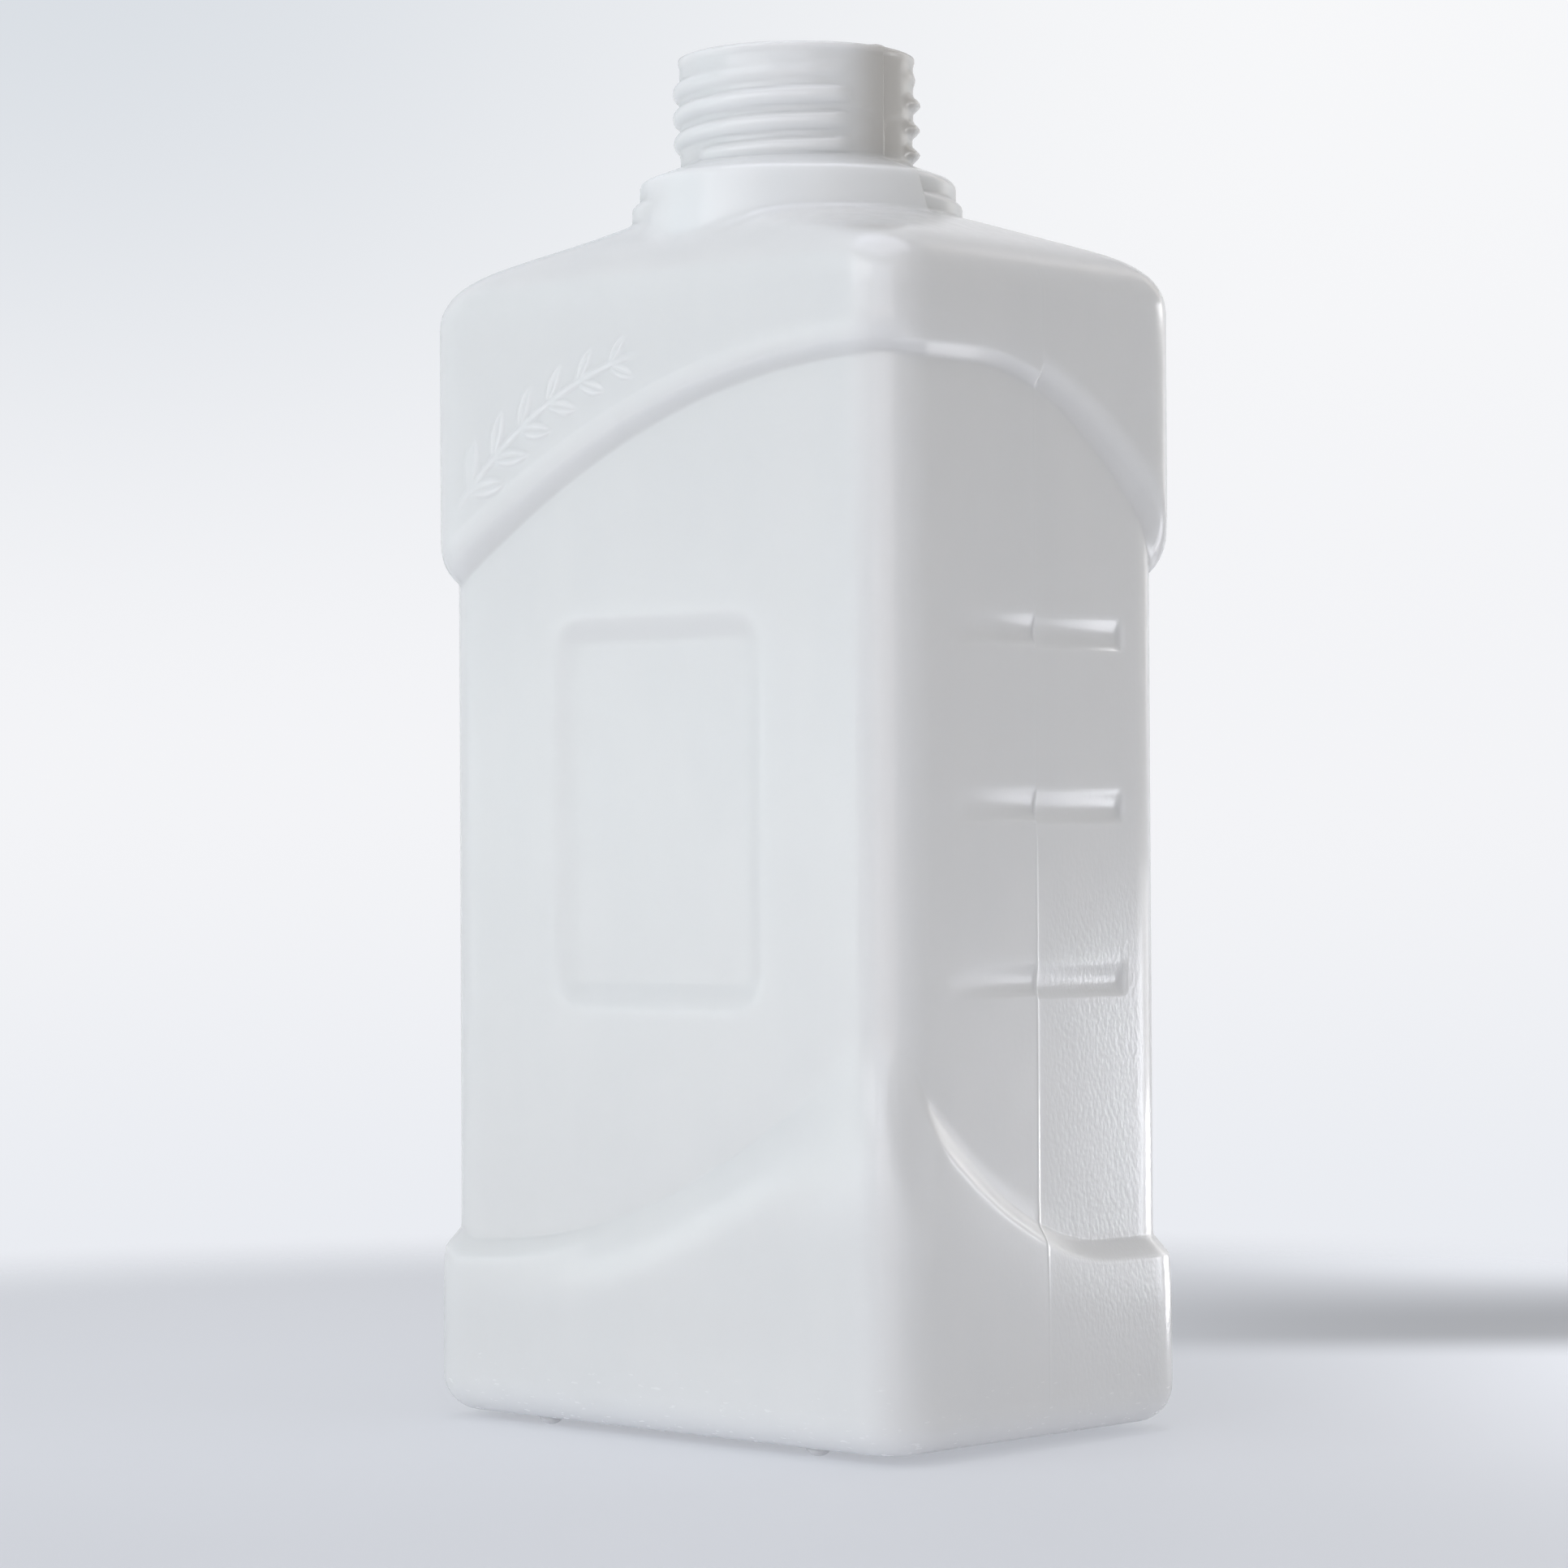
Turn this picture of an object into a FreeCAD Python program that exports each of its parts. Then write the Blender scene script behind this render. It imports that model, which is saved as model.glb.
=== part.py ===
"""One-litre blow-moulded HDPE bottle: a hollow rectangular body with a recessed waist, finger
grooves on its narrow sides, label panels on its wide sides, a domed shoulder and a screw neck.

Millimetres. +Z is up, X is the width, Y is the depth, and the origin is on the surface that the
bottle stands on, on the neck's axis. A half turn about Z brings the bottle back onto itself.
"""
import FreeCAD, Part

import math
import os

from FreeCAD import Vector

# Body
waist_width = 94.8  # X, wall to wall across the recessed waist
waist_depth = 63.6  # Y, wall to wall across the recessed waist
corner_radius = 8.0  # upright corners
step = 2.0  # how far the base and the upper part stand proud of the waist
wall = 1.1
base_edge_radius = 5.7

# Pips that the bottle stands on
foot_height = 1.2
foot_diameter = 3.0
foot_spacing_x = 55.8
foot_edge_gap = 1.4  # from a pip's axis to the rounded edge of the base, along Y
foot_edge_round = 0.5

# Waist: its lower edge runs level from one corner and then sweeps up to the next
recess_low = 27.5  # height of the level stretch of the lower edge
shoulder_band = 9.4  # from the level stretch of the upper edge up to the shoulder's start
front_bend_start = 41.0  # from the middle of a wide side to where its sweep starts
front_bend_radius = 118.0
side_bend_start = 15.0  # from the middle of a narrow side to where its sweep starts
side_bend_radius = 36.5
step_slope_height = 3.2  # height that a step's slope takes

# Finger grooves across the narrow sides
groove_count = 3
groove_spacing = 25.6
groove_length = 39.0
groove_width = 4.8
groove_depth = 1.5

# Label panels on the wide sides
panel_width = 44.4
panel_height = 59.6
panel_radius = 3.6
panel_slope_width = 5.6
panel_depth = 0.8

# Shoulder: it runs in to the ring at the ends of X and dips inside the ring at the ends of Y
shoulder_start = 168.4
shoulder_rise = 14.8
shoulder_dip = 3.85  # how far inside the ring it ends, along Y
shoulder_flat = 1.0  # half the straight stretch left on its narrow sides at the top

# Collar under the neck, with a ring round its foot
collar_radius = 24.35
collar_wall = 1.5
collar_side_height = 2.4  # of its upright side, above the ring
collar_dome_height = 3.7  # from the upright side up to the foot of the neck
ring_overhang = 1.0
ring_height = 2.6
ring_round = 0.9

# Neck and lip
neck_radius = 17.8
neck_wall = 1.6
neck_height = 17.0
lip_overhang = 0.15
lip_height = 1.7
lip_round = 0.45

# Thread: right-hand, broken on both sides of the mould's parting plane Y = 0
thread_pitch = 3.85
thread_depth = 1.2
thread_bead_radius = 1.35
thread_gap = 46.0  # degrees left bare at each parting line
thread_start = 0.5  # from the foot of the neck up to where the first ridge crosses X = 0
thread_lead_in = 55.0  # degrees missing from the start of the first ridge

recess_high = shoulder_start - shoulder_band
mid_height = (recess_low + recess_high) / 2
outer_half_x = waist_width / 2 + step
outer_half_y = waist_depth / 2 + step
shoulder_end = shoulder_start + shoulder_rise
shoulder_middle = shoulder_start + shoulder_rise / 2
ring_radius = collar_radius + ring_overhang
ring_top = shoulder_end + ring_height
collar_edge = ring_top + collar_side_height
collar_top = collar_edge + collar_dome_height
bore_radius = neck_radius - neck_wall
lip_radius = neck_radius + lip_overhang
height = collar_top + neck_height
lip_start = height - lip_height
margin = 3.0  # how far cutting solids reach past what they cut
up = Vector(0, 0, 1)
origin = Vector(0, 0, 0)

# Shoulder sections: share of the shoulder's height, of the way in along X and along Y, and of
# the change in corner radius
shoulder_sections = (
    (0.00, 0.000, 0.000, 0.00),
    (0.12, 0.008, 0.012, 0.00),
    (0.24, 0.037, 0.050, 0.00),
    (0.38, 0.096, 0.130, 0.02),
    (0.55, 0.240, 0.300, 0.16),
    (0.70, 0.460, 0.505, 0.56),
    (0.84, 0.690, 0.750, 0.84),
    (0.93, 0.850, 0.895, 0.92),
    (1.00, 1.000, 1.000, 1.00),
)


def rounded_rectangle(half_x, half_y, radius, z):
    """Closed wire of four quarter arcs and four lines, in the same order at every height."""
    arcs = []
    for sign_x, sign_y, start in ((1, 1, 0), (-1, 1, 90), (-1, -1, 180), (1, -1, 270)):
        centre = Vector(sign_x * (half_x - radius), sign_y * (half_y - radius), z)
        circle = Part.Circle(centre, up, radius)
        arcs.append(Part.ArcOfCircle(circle, math.radians(start), math.radians(start + 90)))
    edges = []
    for arc, following in zip(arcs, arcs[1:] + arcs[:1]):
        edges.append(arc.toShape())
        edges.append(Part.LineSegment(arc.EndPoint, following.StartPoint).toShape())
    return Part.Wire(edges)


def prism(half_x, half_y, radius, low, high):
    face = Part.Face(rounded_rectangle(half_x, half_y, radius, low))
    return face.extrude(Vector(0, 0, high - low))


def outline_stations():
    """Places round the body: (corner's signs, angle on the corner, share of the line after it)."""
    arc_steps = 5
    line_steps = 10
    stations = []
    for quarter, signs in enumerate(((1, 1), (-1, 1), (-1, -1), (1, -1))):
        for i in range(arc_steps):
            stations.append((signs, math.radians(90 * (quarter + i / arc_steps)), 0))
        for i in range(line_steps):
            stations.append((signs, math.radians(90 * (quarter + 1)), i / line_steps))
    return stations


def station_point(station, half_x, half_y, radius):
    """The station's x and y on a rounded rectangle of this size."""
    (sign_x, sign_y), angle, share = station
    x = sign_x * (half_x - radius) + radius * math.cos(angle)
    y = sign_y * (half_y - radius) + radius * math.sin(angle)
    if sign_x == sign_y:
        x -= sign_x * share * 2 * (half_x - radius)
    else:
        y -= sign_y * share * 2 * (half_y - radius)
    return x, y


def sweep_rise(run, bend_radius):
    return max(0, run) ** 2 / (2 * bend_radius)


def lower_edge_height(x, y):
    """Height of the waist's lower edge at a place on the waist's wall."""
    on_wide_side = sweep_rise(front_bend_start - x * math.copysign(1, y), front_bend_radius)
    on_narrow_side = sweep_rise(side_bend_start - y * math.copysign(1, x), side_bend_radius)
    past_corner_x = max(0, abs(x) - waist_width / 2 + corner_radius)
    past_corner_y = max(0, abs(y) - waist_depth / 2 + corner_radius)
    turned = math.atan2(past_corner_x, past_corner_y) / (math.pi / 2)
    share = turned**2 * (3 - 2 * turned)
    return recess_low + (1 - share) * on_wide_side + share * on_narrow_side


def upper_edge_height(x, y):
    return recess_low + recess_high - lower_edge_height(-x, y)


def recess_band(inset):
    """What the waist's recess takes off a form that lies this far inside the outer surface."""
    slope = step_slope_height / step
    half_x = waist_width / 2
    half_y = waist_depth / 2
    # each ring: distance out from the waist's wall, which edge it follows, height above it
    rings = []
    for out in (-margin, step + margin):
        rings.append((out, lower_edge_height, slope * (step / 2 - out)))
    for out in (step + margin, -margin):
        rings.append((out, upper_edge_height, slope * (out - step / 2)))
    curves = []
    for out, edge_height, rise in rings:
        points = []
        for station in outline_stations():
            on_wall = station_point(station, half_x, half_y, corner_radius)
            x, y = station_point(station, half_x + out - inset, half_y + out - inset, corner_radius)
            points.append(Vector(x, y, edge_height(*on_wall) + rise))
        curve = Part.BSplineCurve()
        curve.interpolate(points, PeriodicFlag=True)
        curves.append(curve.toShape())
    faces = [Part.makeRuledSurface(a, b) for a, b in zip(curves, curves[1:] + curves[:1])]
    shell = Part.makeShell(faces)
    shell.sewShape()
    ring = Part.makeSolid(shell)
    if ring.Volume < 0:
        ring.reverse()
    low = foot_height - margin
    waist = prism(half_x - inset, half_y - inset, corner_radius - inset, low, shoulder_end)
    return ring.cut(waist)


def grooves(inset):
    """Round-ended bars that press the finger grooves into both narrow sides."""
    radius = (groove_width**2 / 4 + groove_depth**2) / (2 * groove_depth)
    axis_x = waist_width / 2 + radius - groove_depth
    reach = (groove_length - groove_width) / 2
    bars = []
    for row in range(groove_count):
        z = mid_height + (row - (groove_count - 1) / 2) * groove_spacing
        for x in (axis_x, -axis_x):
            start = Vector(x, -reach, z)
            end = Vector(x, reach, z)
            bar = Part.makeCylinder(radius + inset, 2 * reach, start, Vector(0, 1, 0))
            ends = [Part.makeSphere(radius + inset, point) for point in (start, end)]
            bars.append(bar.fuse(ends))
    return bars


def panels(inset):
    """Shallow frustums that press the label panels into both wide sides."""
    slope = panel_slope_width / panel_depth
    floor = waist_depth / 2 - panel_depth
    sections = []
    for out in (floor - inset, floor + panel_depth + margin):
        spread = slope * (out + inset - floor - panel_depth)
        half_x = panel_width / 2 + spread
        half_z = panel_height / 2 + spread
        radius = panel_radius * half_x / (panel_width / 2)
        sections.append(rounded_rectangle(half_x, half_z, radius, out))
    frustum = Part.makeLoft(sections, True, True)
    frustum.rotate(origin, Vector(1, 0, 0), 90)
    frustum.translate(Vector(0, 0, mid_height))
    opposite = frustum.copy()
    opposite.rotate(origin, up, 180)
    return [frustum, opposite]


def shoulder(inset):
    top_half_y = ring_radius - shoulder_dip
    top_radius = top_half_y - shoulder_flat
    sections = []
    for up_share, in_x, in_y, turn in shoulder_sections:
        half_x = outer_half_x + (ring_radius - outer_half_x) * in_x - inset
        half_y = outer_half_y + (top_half_y - outer_half_y) * in_y - inset
        radius = corner_radius + (top_radius - corner_radius) * turn - inset
        z = shoulder_start + (shoulder_rise - inset) * up_share
        sections.append(rounded_rectangle(half_x, half_y, radius, z))
    return Part.makeLoft(sections, True, False)


def body_form(inset):
    """The body up to the collar, this far inside its outer surface."""
    low = foot_height + inset
    radius = corner_radius - inset
    form = prism(outer_half_x - inset, outer_half_y - inset, radius, low, shoulder_start)
    base_edges = [edge for edge in form.Edges if edge.BoundBox.ZMax < low + 0.01]
    form = form.makeFillet(base_edge_radius - inset, base_edges)
    form = form.fuse(shoulder(inset))
    return form.cut([recess_band(inset)] + grooves(inset) + panels(inset))


def revolved(outline):
    """Solid turned about Z from a closed outline of edges in the plane Y = 0."""
    return Part.Face(Part.Wire(outline)).revolve(origin, up, 360)


def line(start, end):
    return Part.LineSegment(Vector(start[0], 0, start[1]), Vector(end[0], 0, end[1])).toShape()


def quarter_arc(start, end, centre):
    """Quarter circle, turning outward, between two points that are level or plumb with centre."""
    radius = abs(start[0] - centre[0]) + abs(start[1] - centre[1])
    lean = radius * math.sqrt(0.5)
    middle = Vector(centre[0] + lean, 0, centre[1] + lean)
    ends = [Vector(x, 0, z) for x, z in (start, end)]
    return Part.Arc(ends[0], middle, ends[1]).toShape()


def collar_and_neck():
    lean = collar_dome_height / 2  # the dome is a quarter round, then a straight slope
    # each corner in turn, with the centre of the round that leads on from it, if there is one
    outline = (
        ((0, shoulder_middle), None),
        ((ring_radius, shoulder_middle), None),
        ((ring_radius, ring_top - ring_round), (ring_radius - ring_round, ring_top - ring_round)),
        ((ring_radius - ring_round, ring_top), None),
        ((collar_radius, ring_top), None),
        ((collar_radius, collar_edge), (collar_radius - lean, collar_edge)),
        ((collar_radius - lean, collar_edge + lean), None),
        ((neck_radius, collar_top), None),
        ((neck_radius, lip_start), None),
        ((lip_radius, lip_start + lip_overhang), None),
        ((lip_radius, height - lip_round), (lip_radius - lip_round, height - lip_round)),
        ((lip_radius - lip_round, height), None),
        ((0, height), None),
    )
    edges = []
    for (start, centre), (end, _) in zip(outline, outline[1:] + outline[:1]):
        edges.append(quarter_arc(start, end, centre) if centre else line(start, end))
    return revolved(edges)


def neck_opening():
    """The inside of the collar and the bore of the neck."""
    root = shoulder_middle - wall
    ring_inside = ring_radius - collar_wall
    collar_inside = collar_radius - collar_wall
    corners = (
        (0, root),
        (ring_inside, root),
        (ring_inside, ring_top - collar_wall),
        (collar_inside, ring_top),
        (collar_inside, collar_edge - collar_wall / 2),
        (bore_radius, collar_top - collar_wall),
        (bore_radius, height + margin),
        (0, height + margin),
    )
    return revolved([line(a, b) for a, b in zip(corners, corners[1:] + corners[:1])])


def thread():
    """Round beads along one helix, as many as the neck has room for, on each half in turn."""
    bead_axis_radius = neck_radius + thread_depth - thread_bead_radius
    first_height = collar_top + thread_start
    ridges = []
    for i in range(int((lip_start - first_height) / (thread_pitch / 2))):
        lead_in = thread_lead_in if i == 0 else 0
        span = 180 - thread_gap - lead_in
        path = Part.makeHelix(thread_pitch, thread_pitch * span / 360, bead_axis_radius)
        profile = Part.makeCircle(
            thread_bead_radius, Vector(bead_axis_radius, 0, 0), Vector(0, 1, 0)
        )
        ridge = path.makePipeShell([Part.Wire(profile)], True, True)
        # degrees along the helix from where the first ridge crosses X = 0, on the -Y side
        along = 180 * i + thread_gap / 2 + lead_in - 90
        ridge.rotate(origin, up, along - 90)
        ridge.translate(Vector(0, 0, first_height + thread_pitch * along / 360))
        ridges.append(ridge)
    return ridges


def feet():
    pips = []
    y = outer_half_y - base_edge_radius - foot_edge_gap
    for sign_x, sign_y in ((1, 1), (-1, 1), (-1, -1), (1, -1)):
        foot_point = Vector(sign_x * foot_spacing_x / 2, sign_y * y, 0)
        pip = Part.makeCylinder(foot_diameter / 2, foot_height + wall / 2, foot_point)
        rim = [edge for edge in pip.Edges if edge.BoundBox.ZMax < 0.01]
        pips.append(pip.makeFillet(foot_edge_round, rim))
    return pips


def bottle():
    outside = body_form(0).fuse([collar_and_neck()] + thread())
    inside = body_form(wall).fuse(neck_opening())
    return outside.cut(inside).fuse(feet())


def main():
    os.makedirs("parts", exist_ok=True)
    solid = bottle()
    solid.exportStep("parts/bottle.step")


main()
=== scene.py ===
"""Blender look of the one-litre blow-moulded HDPE bottle.

The bottle is one closed skin, outside and inside, laid on a grid of columns that run up its
sides and rows that run round it. The rows follow the waist's swept edges, the finger grooves
and the thread. Sizes are in millimetres, and the meshes are made in metres.
"""

import math

import bmesh
import bpy
import numpy as np
from mathutils import Matrix, Vector


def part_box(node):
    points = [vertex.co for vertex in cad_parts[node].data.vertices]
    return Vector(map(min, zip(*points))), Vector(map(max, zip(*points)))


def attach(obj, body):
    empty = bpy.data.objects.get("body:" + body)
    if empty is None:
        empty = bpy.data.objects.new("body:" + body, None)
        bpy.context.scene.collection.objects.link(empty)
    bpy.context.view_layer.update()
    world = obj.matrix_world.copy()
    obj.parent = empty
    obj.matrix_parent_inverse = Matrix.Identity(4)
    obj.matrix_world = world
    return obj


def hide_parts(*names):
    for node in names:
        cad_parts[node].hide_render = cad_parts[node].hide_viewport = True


MM = 0.001

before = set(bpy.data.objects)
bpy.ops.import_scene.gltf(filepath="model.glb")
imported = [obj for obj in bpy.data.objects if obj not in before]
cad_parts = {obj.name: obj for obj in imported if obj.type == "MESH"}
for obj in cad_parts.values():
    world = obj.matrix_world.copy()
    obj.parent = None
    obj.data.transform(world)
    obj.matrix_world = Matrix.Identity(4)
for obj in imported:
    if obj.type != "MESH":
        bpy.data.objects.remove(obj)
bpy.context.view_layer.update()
cad_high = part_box("bottle")[1]

# ---- Sizes: the frame's box, and the same named sizes as the construction ----
box_half = np.array([cad_high[0], cad_high[1]]) / MM
height = cad_high[2] / MM

parting_height = 0.12
parting_width = 0.2
outer_half = box_half - parting_height  # so that the parting ridge stays inside the box

corner_radius = 8.0
step = 2.0
wall = 1.1
base_edge_radius = 5.7
waist_half = outer_half - step
wide_end = waist_half[0] - corner_radius  # where the straight of a wide side ends
foot_height = 1.2
foot_radius = 1.5
foot_place = np.array([27.9, outer_half[1] - base_edge_radius - 1.4])

recess_low = 27.5
recess_high = 159.0
mid_height = (recess_low + recess_high) / 2
front_bend_start = 41.0
front_bend_radius = 118.0
side_bend_start = 15.0
side_bend_radius = 36.5
lower_step_reach = 10.0  # from the waist's edge down to where the base is at its full size
upper_step_reach = 5.7

groove_count = 3
groove_spacing = 25.6
groove_length = 39.0
groove_width = 4.8
groove_depth = 0.66

panel_half = np.array([22.4, 29.6])
panel_radius = 6.0
panel_slope_width = 4.4
panel_depth = 0.8
sink_depth = 0.18
hollow_depth = 1.0

shoulder_start = 168.4
shoulder_end = 183.2
ring_top = 185.8
collar_edge = 188.2
collar_top = 191.9
collar_radius = 24.35
ring_radius = 25.35
collar_wall = 1.5
neck_radius = 17.8
bore_radius = 16.2
lip_radius = 18.03
lip_height = 1.7
lip_round = 0.45
neck_mismatch = 0.16  # the front half of the neck stands this much further out than the back half
flash_height = 0.22

thread_pitch = 3.85
thread_depth = 1.05
thread_bead_radius = 1.3
thread_gap = 46.0
thread_first = collar_top + 0.5

sprig_rise = 0.28


# ---- Small maths ----
def ease(t):
    """Smoothly from 0 to 1, and level on either side."""
    t = np.clip(t, 0, 1)
    return t * t * (3 - 2 * t)


def fade(value, start, end):
    """Smoothly from 0 to 1 as the value passes from start to end; the end may be the lower one."""
    return ease((value - start) / (end - start))


def mix(first, second, share):
    """The first value where the share is 0, the second where it is 1."""
    return first + (second - first) * share


def soft_max(a, b, blend):
    """The larger of two values, with a round of this size where they meet."""
    overlap = np.maximum(blend - np.abs(a - b), 0) / blend
    return np.maximum(a, b) + overlap**2 * blend / 4


def dent(h, softness):
    """A depth that is h where h is positive, with a softened rim."""
    return (h + np.sqrt(h * h + softness * softness)) / 2


def soft_ramp(t, softness):
    """Straight from 0 to 1, with softened turns at both ends."""
    return dent(t, softness) - dent(t - 1, softness)


def swell(t, power):
    """Steep from 0 and slowing down to 1."""
    return 1 - (1 - np.clip(t, 0, 1)) ** power


def round_over(z, side, start, radius):
    """How far an upright side reaches where it rounds inward above the start."""
    past = np.maximum(z - start, 0)
    return side - radius + np.sqrt(np.maximum(radius**2 - past**2, 0))


def smooth_curve(x, xs, ys):
    """A smooth curve through a few points."""
    xs = np.array(xs)
    ys = np.array(ys)
    slope = np.gradient(ys, xs)
    i = np.clip(np.searchsorted(xs, x, side="right") - 1, 0, len(xs) - 2)
    span = xs[i + 1] - xs[i]
    t = (x - xs[i]) / span
    start = ys[i] * (1 + 2 * t) * (1 - t) ** 2 + slope[i] * span * t * (1 - t) ** 2
    end = ys[i + 1] * t * t * (3 - 2 * t) + slope[i + 1] * span * t * t * (t - 1)
    return start + end


def spread(*stops):
    """Values from (value, spacing) pairs: each spacing holds from its value up to the next."""
    values = []
    for (low, spacing), (high, _) in zip(stops, stops[1:]):
        count = max(1, round((high - low) / spacing))
        values.extend(np.linspace(low, high, count, endpoint=False))
    values.append(stops[-1][0])
    return np.array(values)


# ---- Columns: where each one stands on a rounded rectangle, as a place and a way out ----
def make_columns():
    """Columns stand close at the parting line, grooves' far ends, panels' slopes and the sprig."""
    corner_steps = 11
    line_half = waist_half - corner_radius
    groove_end = groove_length / 2
    near_parting = spread((0, 0.11), (0.44, 0.28), (1.0, 0.8), (3.4, 2.2), (groove_end - 3.5, 1.1),
                          (groove_end - 1.3, 0.4), (groove_end + 0.7, 0.92), (line_half[1], 1))
    narrow = np.concatenate((-near_parting[:0:-1], near_parting))
    slope_end = panel_half[0] - panel_slope_width
    back_half = spread((0, 3.5), (slope_end - 1.8, 0.95), (panel_half[0] + 0.4, 2.7),
                       (line_half[0] - 3.28, 1.15), (line_half[0], 1))
    back = np.concatenate((-back_half[:0:-1], back_half))
    sprig_end = 7.5
    front_left = spread((-line_half[0], 1.56), (sprig_end, 1))
    front = np.concatenate((front_left, back_half[back_half > sprig_end + 0.5]))
    places = []
    ways = []
    sides = ((0, back, 1), (1, narrow, -1), (0, front, -1), (1, narrow, 1))
    corners = ((1, 1), (-1, 1), (-1, -1), (1, -1))
    for quarter, ((axis, spots, side), signs) in enumerate(zip(sides, corners)):
        for i in range(corner_steps):
            angle = math.radians(90 * (quarter + i / corner_steps))
            places.append(signs)
            ways.append((math.cos(angle), math.sin(angle)))
        along = spots if signs[axis] < 0 else spots[::-1]
        for spot in along[:-1]:
            place = [0, 0]
            place[axis] = spot / line_half[axis]
            place[1 - axis] = side
            way = [0, 0]
            way[1 - axis] = side
            places.append(place)
            ways.append(way)
    return np.array(places, float), np.array(ways, float)


column_place, column_way = make_columns()


def outline(half, radius):
    """A point for each column on a rounded rectangle; half and radius may differ by row."""
    radius = np.asarray(radius)[..., None]
    return column_place * (half - radius) + column_way * radius


waist_outline = outline(waist_half, corner_radius)


# ---- Waist edges ----
def sweep_rise(run, bend_radius):
    """How high an edge has climbed this far along its bend."""
    return np.maximum(0, run) ** 2 / (2 * bend_radius)


def lower_edge_height(x, y):
    """Height of the waist's lower edge; each corner blends the sweeps of the two sides beside it."""
    wide_rise = sweep_rise(front_bend_start - x * np.sign(y), front_bend_radius)
    narrow_rise = sweep_rise(side_bend_start - y * np.sign(x), side_bend_radius)
    past_x = np.maximum(0, np.abs(x) - wide_end)
    past_y = np.maximum(0, np.abs(y) - waist_half[1] + corner_radius)
    share = ease(np.arctan2(past_x, past_y) / (math.pi / 2))
    return recess_low + mix(wide_rise, narrow_rise, share)


def steepness(edge):
    """How much taller than wide a slope across this edge stands, from the edge's own climb."""
    run = np.linalg.norm(np.roll(waist_outline, -1, 0) - np.roll(waist_outline, 1, 0), axis=1)
    climb = np.roll(edge, -1) - np.roll(edge, 1)
    raw = np.hypot(1, climb / np.maximum(run, 1e-6))
    return (np.roll(raw, 1) + 2 * raw + np.roll(raw, -1)) / 4


edge_x, edge_y = waist_outline.T
lower_middle = lower_edge_height(edge_x, edge_y)
upper_middle = recess_low + recess_high - lower_edge_height(-edge_x, edge_y)
lower_steep = steepness(lower_middle)
upper_steep = steepness(upper_middle)
reach_x = np.abs(edge_x)
reach_y = np.abs(edge_y)
wide_blend = 5.0  # what a wide side has fades out over this much of the corner
narrow_blend = 2.4  # and what a narrow side has comes in over this much
on_wide_side = 1 - fade(reach_x, wide_end, wide_end + wide_blend)
on_narrow_side = fade(reach_x, waist_half[0] - narrow_blend, waist_half[0])

# the waist's wall starts to turn out this far from the edges' middles, and nearer to the lower
# edge's where a wide side's arch is low
turn_out_far = 1.9
turn_out_near = 0.4
upper_turn_out = 0.5
arch_is_low = on_wide_side * fade(lower_middle, recess_low + 18.5, recess_low + 0.5)
lower_edge = lower_middle + mix(turn_out_far, turn_out_near, arch_is_low) * lower_steep
upper_edge = upper_middle - upper_turn_out

# the lower edge is a ledge on the narrow sides and where it is level; where it climbs it is a fold
# on the wide sides, and melts away round the corners
climb_blend = 5.0
climbing = fade(lower_middle, recess_low, recess_low + climb_blend)
fold_full = waist_half[1] - 3.2
fold_blend = 8.0
fold_share = climbing * fade(reach_y, fold_full - fold_blend, fold_full)
melt_full = np.array([wide_end - 2.28, waist_half[1] - 4.2])
melt_blend = np.array([15.0, 5.0])
melt_start = melt_full - melt_blend
melt_share = climbing * fade(reach_x, melt_start[0], melt_full[0])
melt_share = melt_share * fade(reach_y, melt_start[1], melt_full[1])


def lower_step(d):
    """Share of the step at a distance below the waist's lower edge: a ledge, then a slow swell."""
    ledge_reach = mix(2.9, 2.0, climbing)  # narrower and rounder where the edge climbs
    ledge_round = mix(0.09, 0.22, climbing)
    ledge_share = 0.86
    fold_power = 1.8
    melted_from = -3.0
    melted_to = 15.0
    slow_swell = ease(d / lower_step_reach)
    ledge = mix(slow_swell, soft_ramp(d / ledge_reach, ledge_round), ledge_share)
    fold = swell(d / lower_step_reach, fold_power)
    melted = fade(d, melted_from, melted_to)
    return mix(mix(ledge, fold, fold_share), melted, melt_share)


# the front half of the mould cut the upper edge crisper than the back half did
mould_blur = 0.4
on_front_half = fade(edge_y, mould_blur, -mould_blur)


def upper_step(d):
    """Share of the step at a distance above the waist's upper edge, by side."""
    round_power = 2.3
    rounded = swell(d / upper_step_reach, round_power)

    soft_from = -0.8
    soft_to = 3.4
    soft = fade(d, soft_from, soft_to)

    band_start = -0.6
    band_reach = 1.9
    band_round = 0.12
    band_share = 0.8
    band = soft_ramp((d - band_start) / band_reach, band_round)
    crisp = mix(ease(d / upper_step_reach), band, band_share)

    fold_start = -0.9
    near_reach = 2.8
    near_share = 0.6
    near_fold = fade(d, fold_start, fold_start + near_reach)
    slow_fold = fade(d, fold_start, fold_start + upper_step_reach)
    fold = mix(slow_fold, near_fold, near_share)

    narrow = mix(soft, crisp, on_front_half)
    return mix(mix(rounded, narrow, on_narrow_side), fold, on_wide_side)


# ---- Relief pressed into or standing on the walls ----
groove_rows = np.arange(groove_count) - (groove_count - 1) / 2
groove_middles = mid_height + groove_rows * groove_spacing


def on_wall(reach, half):
    """True on the walls that stand this far from the middle, and not on those beside them."""
    return np.abs(reach) > half - 1


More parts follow.
